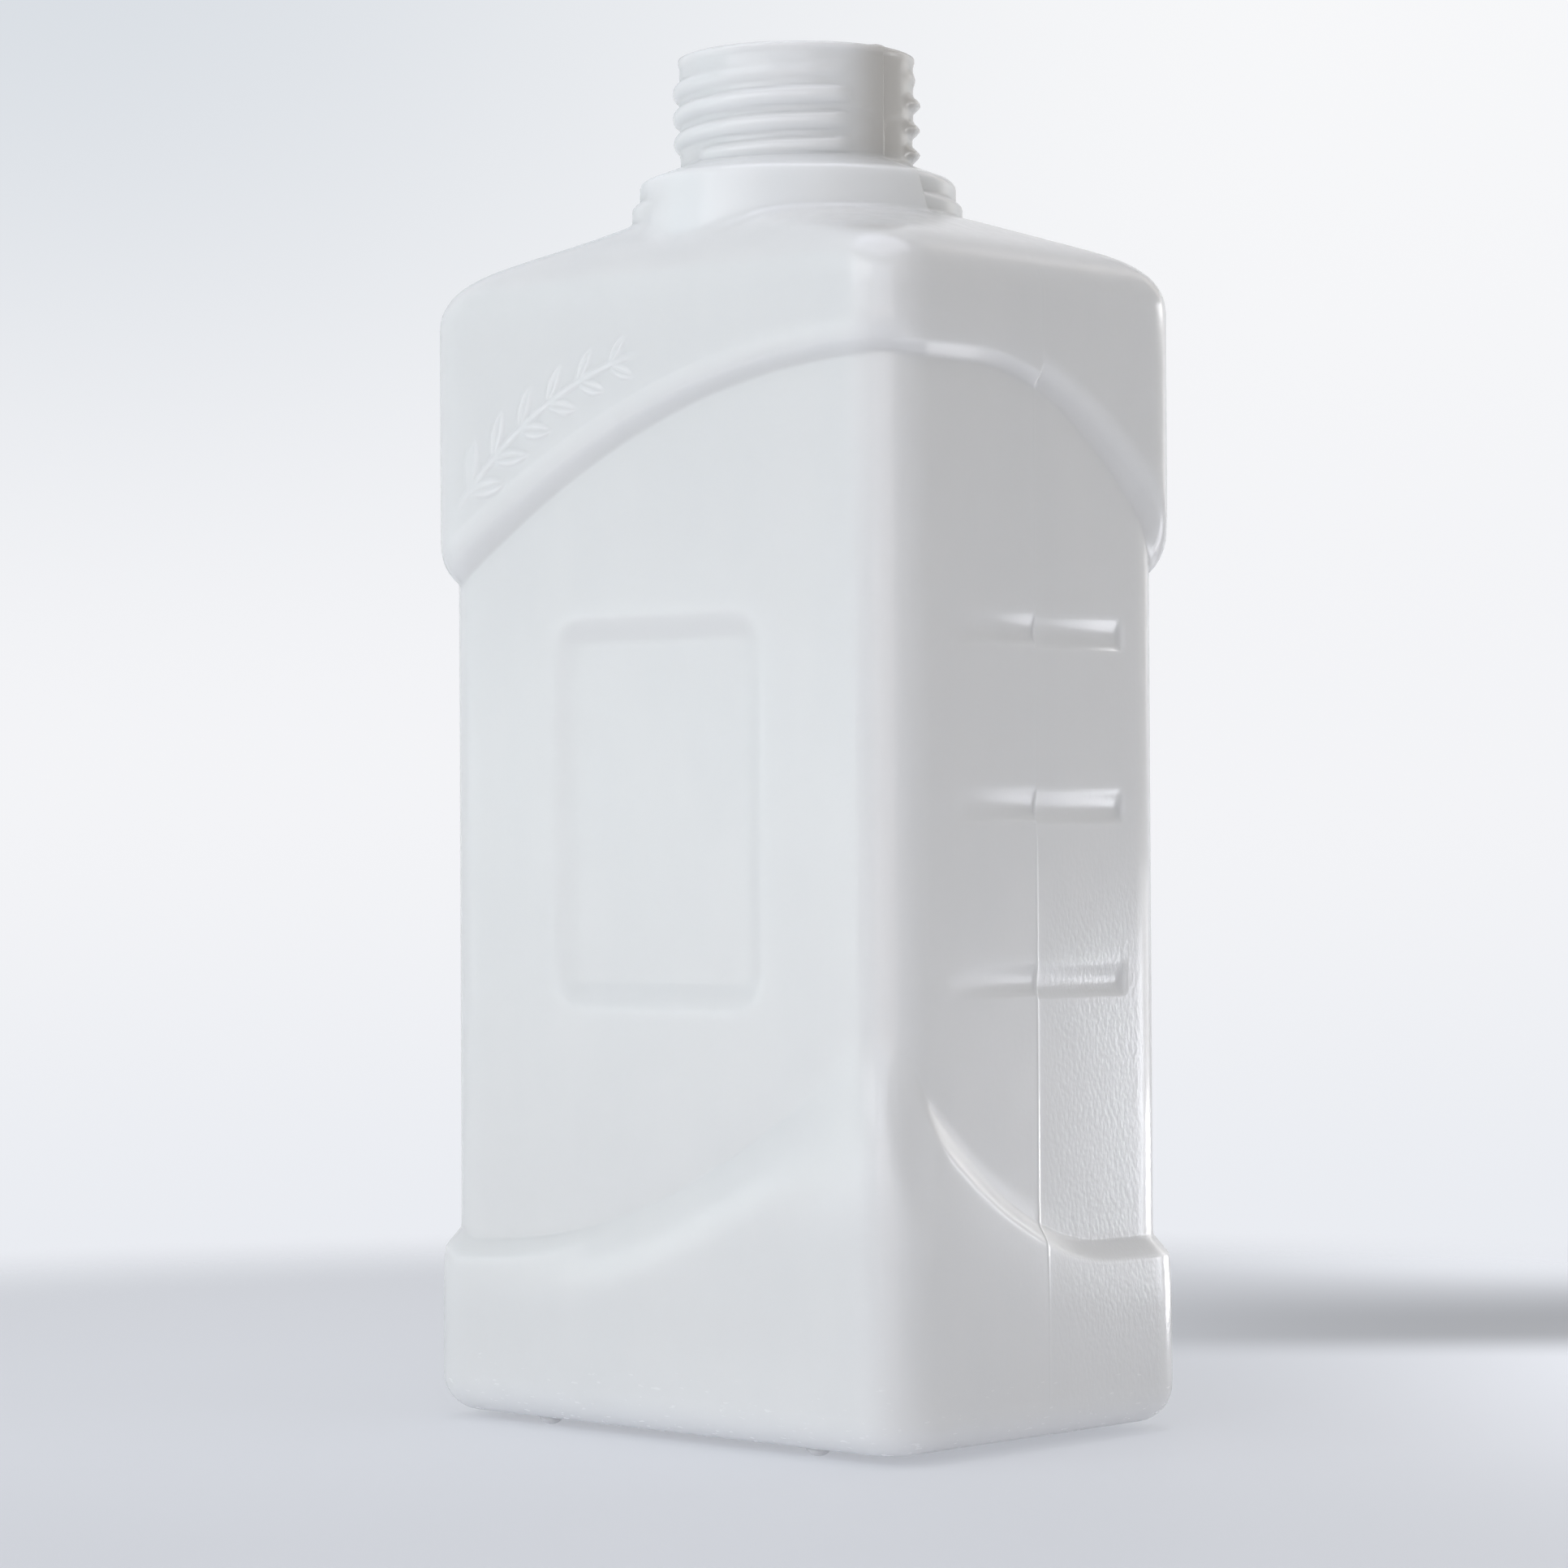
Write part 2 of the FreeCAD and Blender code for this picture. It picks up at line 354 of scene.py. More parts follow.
def groove_relief(x, y, z):
    """Grip grooves: prints of a round bar that sinks in from each half's near end."""
    half_length = groove_length / 2
    in_back_half = y > 0
    raised_front = 0.75  # the two halves of the mould don't quite meet
    raised_back = 0.35
    raised = np.where(in_back_half, raised_back, raised_front)

    # each half's print deepens from its near end on, and the back half's ends in a quarter round
    front_depth = 0.95
    back_start = 0.45
    far_end = half_length + 0.6
    end_round = 1.4
    along = np.clip(y / half_length, -1, 1)
    sunk = np.where(in_back_half, mix(back_start, 1, along), front_depth * (1 + along))
    from_far_end = np.clip((far_end - y) / end_round, 0, 1)
    sunk = sunk * np.sqrt(1 - (1 - from_far_end) ** 2)

    # the bar leans, and prints deeper and crisper along its lower side
    lean = 0.3
    lean_reach = 1.2
    low_lip = 0.07
    high_lip = 0.25
    lip_rise = 0.01
    lip_reach = 1.6
    deepest = np.zeros_like(z)
    for middle in groove_middles:
        across = (z - middle - raised) / (groove_width / 2)
        bar = (1 - across**2) * (1 - lean * np.clip(across, -lean_reach, lean_reach))
        lip = mix(low_lip, high_lip, np.clip((1 + across) / 2, 0, 1))
        depth = dent(bar, lip) - lip_rise
        deepest = np.maximum(deepest, depth * (np.abs(across) < lip_reach))
    return -groove_depth * deepest * sunk * on_wall(x, waist_half[0])


def panel_relief(x, y, z):
    """The shallow rounded panel of each wide wall."""
    past_x = np.abs(x) - panel_half[0] + panel_radius
    past_z = np.abs(z - mid_height) - panel_half[1] + panel_radius
    outside = np.hypot(np.maximum(past_x, 0), np.maximum(past_z, 0))
    inside = np.minimum(np.maximum(past_x, past_z), 0)
    depth_in = panel_radius - outside - inside
    down = depth_in / panel_slope_width
    slope = (ease(down) + np.clip(down, 0, 1)) / 2
    return -panel_depth * slope * on_wall(y, waist_half[1])


def sink_relief(x, y, z):
    """The wide walls sink a little between their corners as they cool."""
    side_blend = 8.0
    base_blend = 10.0
    shoulder_blend = 5.0
    base_start = 8.0
    across = fade(np.abs(x), wide_end, wide_end - side_blend)
    upward = fade(z, base_start, base_start + base_blend)
    upward = upward * fade(z, shoulder_start, shoulder_start - shoulder_blend)
    return -sink_depth * across * upward * on_wall(y, waist_half[1])


def parting_relief(y, z):
    """The ridge of the mould's parting plane: plain low in the waist and on the neck, else finer."""
    finest = 0.15
    neck_blend = 3.0
    above_base = fade(z, recess_low - 3.5, recess_low + 2.5)
    below_middle = fade(z, mid_height + 1.75, mid_height - 7.25)
    on_neck = fade(z, shoulder_end, shoulder_end + neck_blend)
    strength = mix(finest, 1, above_base * below_middle) + on_neck
    return parting_height * strength * np.exp(-((y / parting_width) ** 2))


# ---- Body, from the underside up to the shoulder ----
def body_rows():
    """Row heights for each column, and how far each row stands out from the waist's wall."""
    level = np.ones(len(column_place))
    rows = []
    outs = []

    def add(z, out):
        rows.append(z * level)
        outs.append(out * level)

    def fill(low, high, count, out_at, first=0):
        """Even rows from low up to just short of high."""
        for t in np.linspace(0, 1, count, endpoint=False)[first:]:
            z = mix(low, high, t)
            add(z, out_at(z))

    def by_lower_edge(z):
        return step * lower_step((lower_edge - z) / lower_steep)

    # rows that follow the edges, at these distances below the lower and above the upper edge
    below_lower = (lower_step_reach, 7.5, 5.6, 4.4, 3.6, 3.2, 2.95, 2.7, 2.4, 2.1, 1.85, 1.6, 1.2,
                   0.6, 0.3, 0.05, -0.2, -0.45)
    above_upper = (-1.6, -1.1, -0.85, -0.6, -0.4, -0.15, 0.2, 0.6, 0.95, 1.2, 1.4, 1.7, 2.3, 3.2, 4.4)
    base_top = lower_edge - below_lower[0] * lower_steep
    fill(foot_height + base_edge_radius, base_top, 8, by_lower_edge)
    for d in below_lower:
        add(lower_edge - d * lower_steep, step * lower_step(d))

    # level rows past the panels, closest at the grooves, with rows between them and the edges
    flat_half = panel_half[1] + 1.9
    flat_low = mid_height - flat_half
    flat_high = mid_height + flat_half
    wall_start = lower_edge - below_lower[-1] * lower_steep
    fill(wall_start, flat_low, 8, by_lower_edge, first=1)
    stops = [(flat_low, 0.9)]
    for middle in groove_middles:
        low_side = middle - groove_width / 2
        high_side = middle + groove_width / 2
        stops += [(low_side - 0.3, 0.2), (low_side + 1.7, 0.45), (high_side + 1.8, 1.9)]
    stops += [(flat_high, 1)]
    for z in spread(*stops)[:-1]:
        add(z, 0)
    fill(flat_high, upper_edge + above_upper[0], 8, lambda z: 0)
    for d in above_upper:
        add(upper_edge + d * (upper_steep if d > 0 else level), step * upper_step(d))
    full = upper_edge + upper_step_reach * upper_steep
    fill(full, shoulder_start, 22, lambda z: step)
    return np.array(rows), np.array(outs)


def body(inset):
    """The walls, this far inside the outer surface."""
    z, out = body_rows()
    half = waist_half + out[..., None] - inset
    radius = np.full(out.shape, corner_radius - inset)
    xy = outline(half, radius)
    on_outside = xy + column_way * inset
    x = on_outside[..., 0]
    y = on_outside[..., 1]
    relief = groove_relief(x, y, z) + panel_relief(x, y, z) + sink_relief(x, y, z)
    if inset == 0:
        relief = relief + parting_relief(y, z)
    xy = xy + column_way * relief[..., None]
    return np.dstack((np.clip(xy, -box_half, box_half), z))


def base_edge(inset):
    """The rounding between the underside and the walls, from the underside out."""
    radius = base_edge_radius - inset
    low = foot_height + inset
    rows = []
    for angle in np.radians(np.linspace(0, 90, 9, endpoint=False)):
        pull_in = radius * (1 - math.sin(angle)) + inset
        xy = outline(outer_half - pull_in, corner_radius - pull_in)
        z = low + radius * (1 - math.cos(angle))
        rows.append(np.column_stack((xy, np.full(len(xy), z))))
    return np.array(rows)


def underside(inset):
    """The flat under the body, from near the middle out, a little hollow within its rim."""
    rim = corner_radius - base_edge_radius
    rows = []
    hollow_start = 9.0
    hollow_full = 16.5
    for pull_in in (28.0, 20.0, hollow_full, 14.5, 13.0, 11.5, hollow_start, 7.0):
        xy = outline(outer_half - pull_in, rim)
        hollow = hollow_depth * fade(pull_in, hollow_start, hollow_full)
        rows.append(np.column_stack((xy, np.full(len(xy), foot_height + inset + hollow))))
    return np.array(rows)


# ---- Shoulder, collar and neck: each column keeps its own bearing about the axis ----
shoulder_outline = outline(outer_half, corner_radius)
bearing = np.arctan2(shoulder_outline[:, 1], shoulder_outline[:, 0])
heading = np.column_stack((np.cos(bearing), np.sin(bearing)))


def ray_reach(half, radius):
    """How far the rounded rectangle lies from the axis along each column's bearing."""
    dx, dy = np.abs(heading.T) + 1e-9
    centre = half - radius
    along = dx * centre[0] + dy * centre[1]
    across = np.maximum(along**2 - centre @ centre + radius**2, 0)
    reach = along + np.sqrt(across)
    on_narrow = half[0] / dx
    on_wide = half[1] / dy
    reach = np.where(on_narrow * dy <= centre[1], on_narrow, reach)
    return np.where(on_wide * dx <= centre[0], on_wide, reach)


def shoulder_reach(z, inset):
    """The shoulder narrows along X to the ring and dips inside the ring along Y."""
    rise = shoulder_end - shoulder_start - inset
    t = np.clip((z - shoulder_start) / rise, 0, 1)
    stages = (0.00, 0.12, 0.24, 0.38, 0.55, 0.70, 0.84, 0.93, 1.00)
    half_x = (0.000, 0.008, 0.037, 0.096, 0.240, 0.460, 0.690, 0.850, 1.000)
    half_y = (0.000, 0.012, 0.050, 0.130, 0.300, 0.505, 0.750, 0.895, 1.000)
    turn = (0.00, 0.00, 0.00, 0.02, 0.16, 0.56, 0.84, 0.92, 1.00)
    dip = 3.85
    top = np.array([ring_radius, ring_radius - dip])
    top_radius = ring_radius - dip - 1.0
    share = np.array([smooth_curve(t, stages, half_x), smooth_curve(t, stages, half_y)])
    half = mix(outer_half, top, share) - inset
    radius = mix(corner_radius, top_radius, smooth_curve(t, stages, turn)) - inset
    past_top = max(0, z - shoulder_start - rise)
    past_top_slope = 6
    return ray_reach(half, radius) - past_top_slope * past_top


seam_blur = 1 / 140  # as a share of the reach
front_share = fade(heading[:, 1], seam_blur, -seam_blur)  # 1 on the front half of the mould
degrees = np.degrees(bearing)
flare_share = front_share * fade(degrees, -135, -75)


def collar_reach(z):
    """The collar: rings on the back half and at the far left, flared and taller in front."""
    ring_high = ring_top + 0.25
    ring_round = 0.9
    sunk_in_flare = 0.8
    ring = round_over(z, ring_radius, ring_high - ring_round, ring_round)
    ring = mix(ring, collar_radius, sunk_in_flare * flare_share)
    ring = np.where(z < ring_high, ring, 0)

    flare_slope = 0.35
    flare_out = 0.5
    front_in = 0.2
    flare = flare_slope * np.maximum(0, collar_top - 2.2 - z) + flare_out
    side = collar_radius + flare * flare_share - front_in * front_share

    front_taller = 0.45
    dome_radius = mix(1.5, 0.9, front_share)
    dome_start = collar_edge + front_taller * front_share
    dome = round_over(z, side, dome_start, dome_radius)

    # past most of the rounding, the collar's top slopes in to the neck
    top_slope = 2.6
    over = z - dome_start - dome_radius * 0.85
    slope = side - dome_radius * 0.45 - over * top_slope
    top = np.where(over < 0, dome, slope)
    step_round = 0.2
    return soft_max(ring, top, step_round)


def thread_relief(z):
    """Height of the thread on each column at this height: a round bead in front, a peak at the back."""
    turned = degrees + 90  # the thread starts in the middle of the front
    turn = np.round((z - thread_first) / thread_pitch - turned / 360)
    off = z - thread_first - thread_pitch * (turn + turned / 360)
    bead_axis = thread_bead_radius - thread_depth
    bead = np.sqrt(np.maximum(thread_bead_radius**2 - off**2, 0)) - bead_axis
    peak_height = thread_depth + 0.3
    peak_reach = 1.25
    peak_round = 0.03
    peak = peak_height * (1 - np.sqrt(off**2 + peak_round) / peak_reach)
    foot_round = mix(0.12, 0.42, front_share)
    foot_sink = 0.05 * front_share
    ridge = dent(mix(peak, bead, front_share), foot_round) - foot_sink

    # it fades at both parting lines, starts gently, and sinks over its last turn, in degrees along it
    last_share = 0.3
    last_degree = 1250
    along = 360 * turn + turned
    from_parting = np.abs(turned % 180 - 90)
    strength = fade(from_parting, thread_gap / 2 - 6, thread_gap / 2 + 8)
    strength = strength * fade(along, -14, -2)
    strength = strength * mix(1, last_share, fade(along, 1035, 1105))
    return ridge * strength * (along < last_degree)


def neck_reach(z):
    """The neck with its thread, and the lip that stands out a little at its top."""
    lip_start = height - lip_height
    lip_flare = (lip_radius - neck_radius) * fade(z, lip_start, lip_start + 1)
    return neck_radius + lip_flare + thread_relief(z) + neck_mismatch * (front_share - 0.5)


def ring_of_points(reach, z):
    """A point on each column's bearing; reach and z may differ by column."""
    level = np.ones(len(heading))
    return np.column_stack((heading * (reach * level)[:, None], z * level))


def upper_outside():
    """Rows from the shoulder's start up to the lip's outer edge."""
    heights = spread((shoulder_start, 0.75), (shoulder_end - 5.6, 0.4), (collar_top + 1.2, 0.37),
                     (height - lip_round, 1))
    collar_fillet = 1.6
    neck_fillet = 0.8
    rows = []
    for z in heights:
        reach = soft_max(shoulder_reach(z, 0), collar_reach(z), collar_fillet)
        y = reach * heading[:, 1]
        reach = soft_max(reach, neck_reach(z), neck_fillet)
        reach = reach + parting_relief(y, z)
        rows.append(ring_of_points(reach, z))
    return np.array(rows)


# a nib of flash stands on the rim at the parting line
flash_bearing = -0.05
flash_half_width = 0.07
flash = flash_height * np.exp(-(((bearing - flash_bearing) / flash_half_width) ** 4))


def rim():
    """Rows over the rim, from the lip's outside to the bore."""
    rows = []
    rim_height = height - flash_height + flash
    for angle in np.radians((25, 50, 75, 90)):
        z = rim_height - lip_round * (1 - math.sin(angle))
        rows.append(ring_of_points(lip_radius - lip_round * (1 - math.cos(angle)), z))
    inner_round = 0.3
    for angle in np.radians((90, 60, 30, 0)):
        z = rim_height - inner_round * (1 - math.sin(angle))
        rows.append(ring_of_points(bore_radius + inner_round * (1 - math.cos(angle)), z))
    return np.array(rows)


def upper_inside():
    """Rows from the lip down inside the neck, the collar and the shoulder."""
    rows = []
    ring_inside = ring_radius - collar_wall
    collar_inside = collar_radius - collar_wall
    dome_z = collar_top - collar_wall
    dome_drop = 2.95
    ring_fillet = 1.2
    for down in spread((1.5, 4.0), (height - dome_z, 1))[:-1]:
        rows.append(ring_of_points(bore_radius, height - down))
    for t in np.linspace(0, 1, 5):
        rows.append(ring_of_points(mix(bore_radius, collar_inside, t), dome_z - dome_drop * t))
    for down in spread((height - ring_top + 0.3, 0.62), (height - shoulder_end + 5.2, 1.0),
                       (height - shoulder_start, 1)):
        z = height - down
        reach = soft_max(shoulder_reach(z, wall), ring_inside, ring_fillet)
        rows.append(ring_of_points(reach, z))
    return np.array(rows)


# ---- A sprig of leaves in low relief: a plain ornament of the builder's own ----
def leaf_relief(x, z, root, angle, length, width):
    """A pointed leaf with a crisp edge and a vein down its middle."""
    direction = math.radians(angle)
    along = ((x - root[0]) * math.cos(direction) + (z - root[1]) * math.sin(direction)) / length
    across = -(x - root[0]) * math.sin(direction) + (z - root[1]) * math.cos(direction)
    half = width * np.sin(math.pi * np.clip(along, 0, 1)) ** 0.8
    edge_width = 0.5
    vein_depth = 0.7
    vein = 1 - vein_depth * fade(np.abs(across), edge_width, 0)
    return ease((half - np.abs(across)) / edge_width) * vein * (along > 0) * (along < 1)


def sprig_relief(x, z):
    """Leaves in pairs along a bowed stem, above the waist's arch at the left of the front."""
    bow_centre = np.array([9.5, 94.0])
    bow_radius = 68.0
    first_turn = 138.0
    last_turn = 98.0
    first_leaf = 3.5
    leaf_pairs = 6
    leaf_spacing = 6
    leaf_angle = 36
    leaf_length = 8.6
    leaf_width = 1.55
    off_stem = np.abs(np.hypot(x - bow_centre[0], z - bow_centre[1]) - bow_radius)
    turn_here = np.degrees(np.arctan2(z - bow_centre[1], x - bow_centre[0]))
    on_stem = fade(turn_here, first_turn, first_turn - 2) * fade(turn_here, last_turn, last_turn + 6)
    stem_rise = 0.8
    height_here = stem_rise * fade(off_stem, 0.7, 0.2) * on_stem
    for i in range(leaf_pairs):
        turn = first_turn - first_leaf - leaf_spacing * i
        out = np.array([math.cos(math.radians(turn)), math.sin(math.radians(turn))])
        root = bow_centre + bow_radius * out
        length = leaf_length - 0.55 * i
        width = leaf_width - 0.08 * i
        for side in (1, -1):
            leaf = leaf_relief(x, z, root, turn - 90 + side * leaf_angle, length, width)
            height_here = np.maximum(height_here, leaf)
    return sprig_rise * height_here


def raise_sprig(piece):
    """Divides the wall's faces finely where the sprig stands, and lifts it out of them."""
    low = (-40.5, 136.0)
    high = (9.5, 167.0)
    cuts = 4
    flat_within = 0.25
    skin = bmesh.new()
    skin.from_mesh(piece.data)
    edges = set()
    for face in skin.faces:
        middle = face.calc_center_median() / MM
        on_front = middle.y < -waist_half[1] - 1
        if on_front and low[0] < middle.x < high[0] and low[1] < middle.z < high[1]:
            edges.update(face.edges)
    bmesh.ops.subdivide_edges(skin, edges=list(edges), cuts=cuts, use_grid_fill=True)
    skin.verts.ensure_lookup_table()
    places = np.array([vert.co for vert in skin.verts]) / MM
    on_front_wall = np.abs(places[:, 1] + outer_half[1]) < flat_within
    rise = sprig_relief(places[:, 0], places[:, 2]) * on_front_wall
    for vert, lift in zip(skin.verts, rise):
        if lift > 0:
            vert.co.y = max(vert.co.y - lift * MM, -box_half[1] * MM)
    skin.to_mesh(piece.data)
    skin.free()
    piece.data.shade_smooth()


# ---- The skin as one closed mesh ----
def grid_faces(rows, columns, first=0):
    """Quads between rows of equal length, closed round, facing out when rows climb."""
    faces = []
    for i in range(rows - 1):
        a = first + i * columns + np.arange(columns)
        b = first + i * columns + (np.arange(columns) + 1) % columns
        faces.append(np.column_stack((a, b, b + columns, a + columns)))
    return np.concatenate(faces).tolist()


def mesh_object(name, verts, faces):
    """A smooth-shaded mesh in the scene, from places in millimetres."""
    mesh = bpy.data.meshes.new(name)
    mesh.from_pydata((np.asarray(verts) * MM).tolist(), [], faces)
    mesh.validate()
    mesh.update()
    mesh.shade_smooth()
    piece = bpy.data.objects.new(name, mesh)
    bpy.context.scene.collection.objects.link(piece)
    return piece


def make_bottle():
    """The closed skin: up the outside, over the rim, and down the inside with half the columns."""
    outside = np.concatenate((underside(0), base_edge(0), body(0), upper_outside(), rim()))
    columns = outside.shape[1]
    keep = np.arange(0, columns, 2)
    down = upper_inside()[:, keep]
    inner_body = body(wall)[::-1][1::3][:, keep]
    inner_base = np.concatenate((underside(wall), base_edge(wall)))[::-1][:, keep]
    inside = np.concatenate((down, inner_body, inner_base))
    verts = np.concatenate((outside.reshape(-1, 3), inside.reshape(-1, 3)))
    faces = grid_faces(len(outside), columns)
    first_inside = outside.shape[0] * columns
    faces += grid_faces(len(inside), len(keep), first_inside)
    # the rim's last row has two columns for each one inside
    last = first_inside - columns
    for i in range(len(keep)):
        a = last + 2 * i
        b = last + 2 * i + 1
        c = last + (2 * i + 2) % columns
        d = first_inside + i
        e = first_inside + (i + 1) % len(keep)
        faces += [[a, b, d], [b, e, d], [b, c, e]]
    faces.append(list(range(columns))[::-1])
    end = len(verts) - len(keep)
    faces.append(list(range(end, end + len(keep))))
    return mesh_object("bottle_skin", verts, faces)


def make_feet():
    """Four round pips that the bottle stands on, each rooted in the wall of the underside."""
    root_radius = foot_radius + 0.3
    root_depth = 0.4
    last_angle = math.radians(78)
    turn = np.radians(np.arange(0, 360, 15))
    profile = [(root_radius, foot_height + root_depth)]
    for angle in np.linspace(0, last_angle, 8):
        sink = math.sin(angle) / math.sin(last_angle)
        profile.append((root_radius * math.cos(angle), foot_height * (1 - sink)))
    verts = []
    faces = []
    for sign_x in (1, -1):
        for sign_y in (1, -1):
            first = len(verts)
            for out, z in profile[::-1]:
                for angle in turn:
                    x = foot_place[0] * sign_x + out * math.cos(angle)
                    y = foot_place[1] * sign_y + out * math.sin(angle)
                    verts.append((x, y, z))
            faces += grid_faces(len(profile), len(turn), first)
            faces.append(list(range(first, first + len(turn)))[::-1])
            faces.append(list(range(len(verts) - len(turn), len(verts))))
    return mesh_object("feet", verts, faces)


def make_weld_line():
    """The low seam under the base where the mould pinched the tube of plastic shut."""
    half_length = 31.0
    half_width = 0.55
    half_height = 0.5
    smallest = 0.2  # of its full size, at its tips
    wander_width = 0.12
    middle_height = foot_height + hollow_depth + 0.05
    end_start = half_length - 3
    stations = spread((-half_length, 0.5), (-end_start, 2.0), (end_start, 0.5), (half_length, 1))
    verts = []
    turn = np.radians(np.arange(0, 360, 30))
    for x in stations:
        size = math.sqrt(max(smallest**2, 1 - (abs(x) / half_length) ** 8))
        wander = wander_width * math.sin(x * 0.23)
        for angle in turn:
            y = wander + half_width * size * math.cos(angle)
            z = middle_height + half_height * size * math.sin(angle)
            verts.append((x, y, z))
    faces = grid_faces(len(stations), len(turn))
    faces.append(list(range(len(turn)))[::-1])
    faces.append(list(range(len(verts) - len(turn), len(verts))))
    return mesh_object("weld_line", verts, faces)


# ---- The pieces, and what they ride on and stand for ----
bottle = make_bottle()
raise_sprig(bottle)
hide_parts("bottle")
pieces = (bottle, make_feet(), make_weld_line())
for piece in pieces:
    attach(piece, "root")


# ---- Material ----
class Nodes:
    """Adds shader nodes and wires them up, so that each line below says what it makes."""

    def __init__(self, tree):
        self.tree = tree

    def add(self, kind, inputs=None, **settings):
        """A node of this kind; an input is a value, or a socket to link from."""
        node = self.tree.nodes.new(kind)
        for key, value in settings.items():
            setattr(node, key, value)
        for key, value in (inputs or {}).items():
            if isinstance(value, bpy.types.NodeSocket):
                self.tree.links.new(value, node.inputs[key])
            else:
                node.inputs[key].default_value = value
        return node

    def math(self, operation, first, second=0.0, third=0.0):
        inputs = {0: first, 1: second, 2: third}
        return self.add("ShaderNodeMath", inputs, operation=operation).outputs[0]

    def ramp(self, value, low, high, to_low=0.0, to_high=1.0):
        """Smoothly from one number to another as the value climbs from low to high."""
        inputs = {"Value": value, "From Min": low, "From Max": high, "To Min": to_low, "To Max": to_high}
        return self.add("ShaderNodeMapRange", inputs, interpolation_type="SMOOTHSTEP").outputs[0]

    def seen(self):
        """1 for rays that show the backdrop itself: straight, in a gloss, or through something clear."""
        path = self.add("ShaderNodeLightPath").outputs
        mirrored = self.math("MAXIMUM", path["Is Glossy Ray"], path["Is Transmission Ray"])
        return self.math("MAXIMUM", path["Is Camera Ray"], mirrored)

    def dot(self, place, direction):
        """How far a place lies along a direction."""
        inputs = {0: place, 1: tuple(direction)}
        return self.add("ShaderNodeVectorMath", inputs, operation="DOT_PRODUCT").outputs["Value"]

    def noise(self, place, size, detail=2.0):
        """Smooth noise from 0 to 1 with features of this size, a number or one for each axis."""
        sizes = size if isinstance(size, tuple) else (size, size, size)
        scale = tuple(1 / (s * MM) for s in sizes)
        scaled = self.add("ShaderNodeVectorMath", {0: place, 1: scale}, operation="MULTIPLY").outputs[0]
        return self.add("ShaderNodeTexNoise", {"Vector": scaled, "Scale": 1.0, "Detail": detail}).outputs[0]

    def mix_color(self, share, first, second):
        """The first colour where the share is 0, the second where it is 1."""
        node = self.add("ShaderNodeMix", {"Factor": share}, data_type="RGBA")
        for socket, value in ((node.inputs[6], first), (node.inputs[7], second)):
            if isinstance(value, bpy.types.NodeSocket):
                self.tree.links.new(value, socket)
            else:
                socket.default_value = value
        return node.outputs[2]


